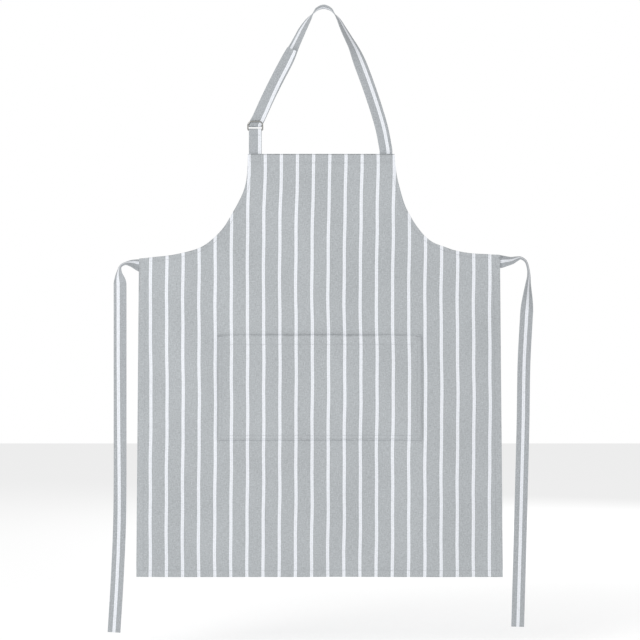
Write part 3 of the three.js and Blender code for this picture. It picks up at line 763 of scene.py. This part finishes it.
class APRON_OT_pocket(bpy.types.Operator):
    """Add the wide pocket, open at the top"""

    bl_idname = "apron.pocket"
    bl_label = "Pocket"

    def execute(self, context):
        sizes = context.scene.apron_sizes
        cloth = sizes.cloth / MM
        left, right, top, bottom = (POCKET[k] for k in ("left", "right", "top", "bottom"))
        columns = np.linspace(left, right, 97)
        rows = np.linspace(top, bottom, 55)
        x, z = np.meshgrid(columns, rows)
        centre = on_cloth(x, z, POCKET_LAYER - pocket_belly(x, z))
        flat = np.stack([warp_u(x, z), z], -1)
        patch = shell("pocket_front", centre, flat, cloth, drill_material())
        declare(patch, "panel", ["pocket_patch"])

        # The mouth hem wraps over the top edge and lies inside the pocket
        section, run = fold_section(1.6, 0.6, 0.6, 0.58, np.linspace(2.5, POCKET_MOUTH_HEM, 8))
        mouth = np.linspace(right - POCKET_SEAM, left + POCKET_SEAM, 91)
        x = np.repeat(mouth[:, None], len(section), 1)
        z = top - np.repeat(section[None, :, 0], len(mouth), 0)
        centre = on_cloth(x, z, POCKET_LAYER + section[None, :, 1] - pocket_belly(x, z))
        flat = np.stack([warp_u(x, z), np.repeat((top + run)[None, :], len(mouth), 0)], -1)
        hem = shell("pocket_mouth_fold", centre, flat, cloth, drill_material())
        declare(hem, "panel", ["pocket_mouth_hem"])

        # The turned-in edge runs down one side, along the bottom and up the other
        section, run = fold_section(1.2, 0.5, 0.48, 0.48, (3.5, 7.0, 10.5))
        path = np.vstack([
            np.linspace((left, top - 0.5), (left, bottom + 1.5), 60),
            [(left + 0.45, bottom + 0.45)],
            np.linspace((left + 1.5, bottom), (right - 1.5, bottom), 100),
            [(right - 0.45, bottom + 0.45)],
            np.linspace((right, bottom + 1.5), (right, top - 0.5), 60),
        ])
        middle = (left + right) / 2
        inwards = section[None, :, 0]
        corner_x = np.clip(path[:, None, 0], left + inwards, right - inwards)
        corner_z = np.maximum(path[:, None, 1], bottom + inwards)
        centre = on_cloth(corner_x, corner_z, POCKET_LAYER + section[None, :, 1])
        outward = np.sign(path[:, None, 0] - middle) * (path[:, None, 1] > bottom + 1.0)
        flat_x = path[:, None, 0] + outward * run[None, :]
        flat_z = path[:, None, 1] - (1 - np.abs(outward)) * run[None, :]
        flat = np.stack([warp_u(flat_x, flat_z), flat_z], -1)
        edge = shell("pocket_side_fold", centre, flat, cloth, drill_material())
        declare(edge, "panel", ["pocket_turned_edge"])
        return {"FINISHED"}


def rolled(places, degrees):
    """The width direction of a tape that lies facing forwards, rolled about its own length."""
    along = unit(np.gradient(places, axis=0))
    flat = unit(np.cross(along, [0.0, -1.0, 0.0]))
    angle = np.radians(np.broadcast_to(degrees, (len(places),)))[:, None]
    return flat * np.cos(angle) + np.array([0.0, 1.0, 0.0]) * np.sin(angle)


def arm_roll(line):
    """Degrees of roll along the neck strap: flat at its ends and on edge over the loop's top."""
    rolls = []
    for table in (LEFT_ARM_ROLL, RIGHT_ARM_ROLL):
        heights, degrees = smooth_line(table, 8).T
        rolls.append(np.interp(line[:, 2], heights, degrees, left=0.0))
    return np.where(line[:, 0] < 0, *rolls)


def tail_across(line):
    """The width direction of the strap's tail, which rolls with the strap behind it."""
    roll = np.radians(arm_roll(line))[:, None]
    return np.array([1.0, 0.0, 0.0]) * np.cos(roll) - np.array([0.0, 1.0, 0.0]) * np.sin(roll)


def left_arm(top):
    drop = top - TURN_Z
    return [(RING_X * a, INCOMING_Y * d**1.5, top - drop * d) for a, d in LEFT_ARM]


class APRON_OT_neck_strap(bpy.types.Operator):
    """Run the neck strap from the right bib corner over the loop's top and down behind the rings"""

    bl_idname = "apron.neck_strap"
    bl_label = "Neck strap"

    def execute(self, context):
        sizes = context.scene.apron_sizes
        thick, width = sizes.tape / MM, sizes.tape_width / MM
        top = thick / 2
        drop = top - BIB_SEAM
        right = [(STRAP_X * a, TAPE_BACK * d, top - drop * d) for a, d in RIGHT_ARM]
        ends = [(RING_X, INCOMING_Y, TURN_Z + 2.6), (RING_X, INCOMING_Y, TURN_Z + 0.3)]
        seam = (STRAP_X, TAPE_BACK, BIB_SEAM)
        points = [seam, *right[::-1], (0, 0, top), *left_arm(top), *ends]
        sewn = np.linspace((STRAP_X, TAPE_BACK, TAPE_END), seam, 12)[:-1]
        line = np.vstack([sewn, even(smooth_line(points), 2.2)])
        section = tape_section(width, thick)
        across = rolled(line, arm_roll(line))
        strap = swept("neck_strap_tape", line, across, section, 4.4, tape_material())
        bend = [(STRAP_X, TAPE_BACK, z) for z in BIB_FOLD]
        nodes = ["neck_strap", "neck_strap_sewn_end"]
        declare(strap, ("neck_loop", "panel", *bend), nodes)
        return {"FINISHED"}


class APRON_OT_strap_tail(bpy.types.Operator):
    """Turn the strap round the back ring and bring its tail up in front"""

    bl_idname = "apron.strap_tail"
    bl_label = "Strap tail"

    def execute(self, context):
        sizes = context.scene.apron_sizes
        thick, width = sizes.tape / MM, sizes.tape_width / MM
        turn = [
            (RING_X, BACK_ARCH_Y + TURN_RADIUS * math.cos(a), TURN_Z - TURN_RADIUS * math.sin(a))
            for a in np.linspace(0, math.pi, 11)
        ]
        start = (RING_X, INCOMING_Y, TURN_Z + 0.25)
        above = [(RING_X, TAIL_Y, TURN_Z + 0.3), (RING_X + 1.0, TAIL_Y - 0.15, TURN_Z + 3.6)]
        for x, _, z in left_arm(thick / 2)[::-1]:
            if z > TURN_Z + 8:
                above.append((x, TAIL_Y - 0.15 - 13 * (z - TURN_Z) / 154, z))
        curve = smooth_line([start, *turn, *above])
        long = math.pi * TURN_RADIUS + TAIL_LENGTH
        near = np.linspace(0, 14, 29)
        line = at(curve, np.concatenate([near, np.linspace(14, long, 90)[1:]]))
        stripe = 8.6 - 1.6 * ease(lengths(line), 30, 120)
        section = tape_section(width, thick)
        tail = swept("strap_tail_tape", line, tail_across(line), section, stripe, tape_material())
        fold = at(curve, np.linspace(long - END_HEM, long + 0.3, 10))
        section = tape_section(width - 0.6, 0.9, 6, 3)
        across = tail_across(fold)
        through = unit(np.cross(unit(np.gradient(fold, axis=0)), across))
        forward = np.where(through[:, 1:2] < 0, through, -through)
        fold = fold + forward * (thick / 2 + 0.5)
        flap = swept("strap_tail_hem", fold, across, section, 8.0, tape_material())
        blend = ("neck_loop", "tail_slider", tuple(line[34]), tuple(line[80]))
        nodes = ["strap_turn", "strap_tail"]
        declare(tail, blend, nodes)
        nodes = ["strap_tail_end_hem"]
        declare(flap, "tail_slider", nodes)
        return {"FINISHED"}


class APRON_OT_ring_tab(bpy.types.Operator):
    """Fold the short tab over the bars of both rings"""

    bl_idname = "apron.ring_tab"
    bl_label = "Ring tab"

    def execute(self, context):
        sizes = context.scene.apron_sizes
        thick, width = sizes.tape / MM, sizes.tape_width / MM
        wall = sizes.wire / MM / 2 + 0.5 + thick / 2
        throat = BAR_Z - wall - 6
        heights = (TAPE_END, -300, -290, BIB_SEAM, (throat + BIB_SEAM) / 2, throat)

        def round_bar(y, first, last):
            angles = np.radians(range(first, last, -15))
            return [(y + wall * math.cos(a), BAR_Z + wall * math.sin(a)) for a in angles]

        route = [(TAPE_BACK, z) for z in heights]
        route += round_bar(FRONT_BAR_Y, 200, 89) + round_bar(BACK_BAR_Y, 90, -21)
        route += [(TAB_BACK, z) for z in heights[::-1]]
        curve = smooth_line([(RING_X, y, z) for y, z in route])
        line = even(curve, 0.9)
        across = np.tile([1.0, 0.0, 0.0], (len(line), 1))
        tab = swept("ring_tab_tape", line, across, tape_section(width, thick), 8.8, tape_material())
        bend = [(RING_X, 4, z) for z in BIB_FOLD]
        nodes = ["ring_tab", "ring_tab_sewn_front", "ring_tab_sewn_back"]
        declare(tab, ("neck_loop", "panel", *bend), nodes)
        return {"FINISHED"}


class APRON_OT_rings(bpy.types.Operator):
    """Bend the two D-rings from round wire"""

    bl_idname = "apron.rings"
    bl_label = "D-rings"

    def execute(self, context):
        sizes = context.scene.apron_sizes
        for name, bar, arch, node_name in (
            ("front_d_ring", FRONT_BAR_Y, FRONT_ARCH_Y, "d_ring_front"),
            ("back_d_ring", BACK_BAR_Y, BACK_ARCH_Y, "d_ring_back"),
        ):
            lean = math.atan2(bar - arch, RING_RISE)
            bpy.ops.object.select_all(action="DESELECT")
            bpy.ops.mesh.primitive_plane_add(size=1, location=(0, RING_RISE * MM / 2, 0))
            ring = context.object
            ring.name = name
            ring.scale = (2 * RING_HALF * MM, RING_RISE * MM, 1)
            bpy.ops.object.transform_apply(location=True, rotation=False, scale=True)
            bpy.ops.object.mode_set(mode="EDIT")
            bpy.ops.mesh.select_mode(type="VERT")
            for low, radius, steps in ((True, 3.0, 7), (False, 8.0, 14)):
                bpy.ops.mesh.select_all(action="DESELECT")
                bpy.ops.object.mode_set(mode="OBJECT")
                for vertex in ring.data.vertices:
                    vertex.select = (vertex.co.y < RING_RISE * MM / 4) == low
                bpy.ops.object.mode_set(mode="EDIT")
                bpy.ops.mesh.bevel(offset=radius * MM, segments=steps, affect="VERTICES")
            bpy.ops.mesh.select_all(action="SELECT")
            bpy.ops.mesh.delete(type="ONLY_FACE")
            bpy.ops.object.mode_set(mode="OBJECT")
            bpy.ops.object.convert(target="CURVE")
            ring = context.object
            ring.data.bevel_depth = sizes.wire / 2
            ring.data.bevel_resolution = 4
            bpy.ops.object.convert(target="MESH")
            ring = context.object
            ring.rotation_euler = (math.pi / 2 + lean, 0, 0)
            ring.location = (RING_X * MM, bar * MM, BAR_Z * MM)
            bpy.ops.object.transform_apply(location=True, rotation=True, scale=True)
            bpy.ops.object.mode_set(mode="EDIT")
            bpy.ops.mesh.select_all(action="SELECT")
            bpy.ops.mesh.remove_doubles(threshold=1e-6)
            bpy.ops.mesh.normals_make_consistent(inside=False)
            bpy.ops.object.mode_set(mode="OBJECT")
            bpy.ops.object.shade_smooth()
            ring.data.materials.clear()
            ring.data.materials.append(nickel_material())
            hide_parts(node_name)
            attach(ring, "front_ring" if name == "front_d_ring" else "back_ring")
        return {"FINISHED"}


def tie_curve(tie):
    """The tie's middle line from the inner end of its seam, and where it leaves the side edge."""
    side, edge = tie["side"], tie["edge"]
    start = (edge, TAPE_BACK, SEAM_Z + tie["seam_rise"])
    route = [(edge + side * out, TAPE_BACK, SEAM_Z - down) for out, down in tie["route"]]
    free = smooth_line([start, *route])
    inner = np.array([edge - side * 15, TAPE_BACK, SEAM_Z + tie["seam_rise"] * 1.15])
    seam = np.linspace(inner, start, 8)[:-1]
    return np.vstack([seam, free]), np.linalg.norm(inner - np.array(start))


class APRON_OT_ties(bpy.types.Operator):
    """Sew on the two waist ties, which roll on edge at their bends and hang"""

    bl_idname = "apron.ties"
    bl_label = "Waist ties"

    def execute(self, context):
        sizes = context.scene.apron_sizes
        thick, width = sizes.tape / MM, sizes.tape_width / MM
        for name, tie in TIES.items():
            side = tie["side"]
            curve, seam = tie_curve(tie)
            total = lengths(curve)[-1]
            split = seam + tie["split"]
            peak, rise, hold, flat = tie["roll"]

            def piece(label, distances, section):
                line = at(curve, distances)
                free = distances - seam
                narrow = np.clip(free / rise, 0, 1) * (1 - ease(free, hold, flat))
                seen = 1 - (1 - math.cos(math.radians(peak))) * narrow
                roll = -side * np.degrees(np.arccos(seen))
                near, far = tie["stripe"]
                stripe = near + (far - near) * ease(free, 150, total - 60)
                return swept(label, line, rolled(line, roll), section, stripe, tape_material())

            section = tape_section(width, thick, 10)
            root = piece(f"{name}_tie_start", np.arange(0, split + 0.01, 0.5), section)
            bend = [curve_place(curve, distance) for distance in (seam - 1, split - 2)]
            blend = ("panel", f"{name}_tie_base", *bend)
            nodes = [f"{name}_tie_sewn_end"]
            declare(root, blend, nodes)

            turn = seam + tie["bend"]
            close, sparse = np.arange(split, turn + 60, 0.8), np.linspace(turn + 60, total, 230)
            tail = piece(f"{name}_tie_hanging", np.concatenate([close, sparse]), section)
            bend = [curve_place(curve, distance) for distance in (turn - 9, turn + 7)]
            blend = (f"{name}_tie_base", f"{name}_tie_end", *bend)
            nodes = [f"{name}_tie_root", f"{name}_tie_tail"]
            declare(tail, blend, nodes)

            fold = np.linspace(total - END_HEM, total, 10)
            thin = tape_section(width - 0.5, 0.9, 6, 3)
            flap = piece(f"{name}_tie_hem", fold, thin)
            for vertex in flap.data.vertices:
                vertex.co.y += (thick / 2 + 0.5) * MM
            nodes = [f"{name}_tie_end_hem"]
            declare(flap, f"{name}_tie_end", nodes)
        return {"FINISHED"}


def curve_place(curve, distance):
    return tuple(at(curve, np.array([distance]))[0])


# ---------------------------------------------------------------- stitches

def stitch_row(name, runs, nodes, body):
    """Rows of single stitches. A run is a line of places, the way its cloth faces, and a pitch."""
    sizes = bpy.context.scene.apron_sizes
    radius = sizes.thread / MM / 2
    ring = np.linspace(0, 2 * math.pi, 5, endpoint=False)
    spots = np.array([0.0, 0.12, 0.5, 0.88, 1.0])
    lift = np.array([-0.28, 0.12, 0.24, 0.12, -0.28])
    girth = np.array([0.55, 1.0, 1.05, 1.0, 0.55])
    points, faces, uv = [], [], []
    for line, facing, pitch in runs:
        line = np.asarray(line, float)
        total = lengths(line)[-1]
        count = max(1, int(total / pitch))
        starts = np.arange(count) * (total / count)
        length = total / count * 0.8
        grain = np.asarray(facing, float)
        for k, start in enumerate(starts):
            ends = at(line, np.array([start, start + length]))
            along = unit(ends[1] - ends[0])
            up = unit(grain - along * np.dot(grain, along))
            wide = np.cross(along, up)
            slew = 0.09 * math.sin(k * 2.3)
            middle = ends[0] + np.outer(spots, ends[1] - ends[0]) + np.outer(lift, up)
            middle = middle + np.outer((spots - 0.5) * slew, wide)
            loops = (
                middle[:, None, :]
                + (np.cos(ring)[None, :, None] * wide + np.sin(ring)[None, :, None] * up)
                * (girth[:, None, None] * radius)
            )
            base = len(points)
            points.extend(loops.reshape(-1, 3))
            uv.extend([(0.0, 0.0)] * 25)
            for i in range(4):
                for j in range(5):
                    a, b = base + i * 5 + j, base + i * 5 + (j + 1) % 5
                    faces.append((a, a + 5, b + 5, b))
            faces.append(tuple(base + j for j in range(5)))
            faces.append(tuple(base + 20 + j for j in range(4, -1, -1)))
    obj = mesh_object(name, np.array(points), faces, np.array(uv), thread_material(), angle=80)
    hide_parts(*nodes)
    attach(obj, body)


def box_line(left, right, bottom, top):
    corners = [(left, top), (left, bottom), (right, bottom), (right, top), (left, top)]
    return [np.linspace(a, b, 12) for a, b in zip(corners[:-1], corners[1:])]


class APRON_OT_stitches(bpy.types.Operator):
    """Stitch the hems, the pocket, the strap, the tab and the ties"""

    bl_idname = "apron.stitches"
    bl_label = "Stitches"

    def execute(self, context):
        sizes = context.scene.apron_sizes
        pitch = sizes.stitch / MM
        front, back = (0.0, -1.0, 0.0), (0.0, 1.0, 0.0)
        rear = 2 * sizes.cloth / MM + 0.45

        def both(lines, behind=rear):
            runs = []
            for line in lines:
                runs.append((on_cloth(line[:, 0], line[:, 1], 0.0), front, pitch))
                runs.append((on_cloth(line[:, 0], line[:, 1], behind), back, pitch))
            return runs

        bib = np.linspace((BIB_LEFT + 6, BIB_TOP - 17.5), (BIB_RIGHT - 6, BIB_TOP - 17.5), 80)
        stitch_row("bib_hem_stitches", both([bib]), ["bib_hem_thread"], "panel")
        bottom = np.linspace((HEM_LEFT + 1, HEM + 12.6), (HEM_RIGHT - 1, HEM + 12.6), 200)
        stitch_row("bottom_hem_stitches", both([bottom]), ["bottom_hem_thread"], "panel")
        for name, sign, (upper, lower) in zip(("left", "right"), (-1, 1), side_lines()):
            line, _ = inset(smooth_line(upper[9:-4], 3), 7.2, sign)
            nodes = [f"{name}_armhole_thread"]
            stitch_row(f"{name}_armhole_stitches", both([line]), nodes, "panel")
            line, _ = inset(lower[7:-2], 12.6, sign)
            stitch_row(f"{name}_side_stitches", both([line]), [f"{name}_side_thread"], "panel")

        left, right, top, low = (POCKET[k] for k in ("left", "right", "top", "bottom"))
        skin = POCKET_LAYER - sizes.cloth / MM / 2

        def on_pocket(line):
            belly = pocket_belly(line[:, 0], line[:, 1])
            return on_cloth(line[:, 0], line[:, 1], skin - belly)

        for label, gap in (("outer", 2.4), ("inner", 8.8)):
            sides = [
                np.linspace((left + gap, top - 3), (left + gap, low + gap), 60),
                np.linspace((left + gap, low + gap), (right - gap, low + gap), 120),
                np.linspace((right - gap, low + gap), (right - gap, top - 3), 60),
            ]
            runs = [(on_pocket(line), front, pitch) for line in sides]
            behind = sizes.cloth / MM
            runs += [(on_cloth(line[:, 0], line[:, 1], behind), back, pitch) for line in sides]
            stitch_row(f"pocket_{label}_stitches", runs, [f"pocket_seam_thread_{label}"], "panel")
        mouth = np.linspace((left + 12, top - 17.5), (right - 12, top - 17.5), 120)
        runs = [(on_pocket(mouth), front, pitch)]
        stitch_row("pocket_mouth_stitches", runs, ["pocket_mouth_thread"], "panel")
        for name, start, sign in (("left", left + 1.2, 1), ("right", right - 1.2, -1)):
            tacks = []
            for k in range(16):
                x = start + sign * k * 0.72
                tack = np.array([(x, top - 1.0), (x, top - 3.2)])
                tacks.append((on_pocket(tack), front, 9.0))
            stitch_row(f"{name}_pocket_tack", tacks, [f"{name}_pocket_bartack"], "panel")

        for label, middle, layer in (
            ("neck_strap", STRAP_X, TAPE_BACK), ("ring_tab", RING_X, TAB_BACK)
        ):
            lines = box_line(middle - 10, middle + 10, BIB_TOP - 15.2, BIB_TOP - 3.6)
            runs = both(lines, layer + 0.8)
            stitch_row(f"{label}_box_stitches", runs, [f"{label}_box_stitch"], "panel")
        for name, tie in TIES.items():
            side, edge, rise = tie["side"], tie["edge"], tie["seam_rise"]
            ends = sorted((edge - side * 12.3, edge - side * 2.6))
            lines = box_line(ends[0], ends[1], SEAM_Z + rise - 9.8, SEAM_Z + rise + 6.2)
            runs = both(lines, TAPE_BACK + 0.8)
            stitch_row(f"{name}_tie_box_stitches", runs, [f"{name}_tie_box_stitch"], "panel")

        row = BAR_Z - sizes.wire / MM / 2 - sizes.tape / MM / 2 - 7.2
        ends = [(RING_X - 10, TAPE_BACK - 0.8, row), (RING_X + 10, TAPE_BACK - 0.8, row)]
        far = [(x, TAB_BACK + 0.8, z) for x, _, z in ends]
        short = pitch * 0.8
        runs = [(np.linspace(*ends, 9), front, short), (np.linspace(*far, 9), back, short)]
        stitch_row("ring_tab_bar_stitches", runs, ["ring_tab_bar_thread"], "neck_loop")
        return {"FINISHED"}


MAKERS = [
    APRON_OT_studio, APRON_OT_body, APRON_OT_hems, APRON_OT_pocket, APRON_OT_neck_strap,
    APRON_OT_strap_tail, APRON_OT_ring_tab, APRON_OT_rings, APRON_OT_ties, APRON_OT_stitches,
]


class APRON_PT_sidebar(bpy.types.Panel):
    """The apron's sizes, colours and makers"""

    bl_idname = "APRON_PT_sidebar"
    bl_label = "Butcher Apron"
    bl_space_type = "VIEW_3D"
    bl_region_type = "UI"
    bl_category = "Apron"

    def draw(self, context):
        for group in ("apron_sizes", "apron_colours", "apron_studio"):
            box = self.layout.box()
            settings = getattr(context.scene, group)
            for name in settings.__annotations__:
                box.prop(settings, name)
        for maker in MAKERS:
            self.layout.operator(maker.bl_idname)


SETTINGS = {"apron_sizes": ApronSizes, "apron_colours": ApronColours, "apron_studio": ApronStudio}


def register():
    for kind in [*SETTINGS.values(), *MAKERS, APRON_PT_sidebar]:
        bpy.utils.register_class(kind)
    for name, kind in SETTINGS.items():
        setattr(bpy.types.Scene, name, bpy.props.PointerProperty(type=kind))


def unregister():
    for name in SETTINGS:
        delattr(bpy.types.Scene, name)
    for kind in [APRON_PT_sidebar, *MAKERS[::-1], *SETTINGS.values()]:
        bpy.utils.unregister_class(kind)


def main():
    register()
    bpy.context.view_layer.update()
    for maker in MAKERS:
        group, name = maker.bl_idname.split(".")
        getattr(getattr(bpy.ops, group), name)()


if __name__ == "__main__":
    main()
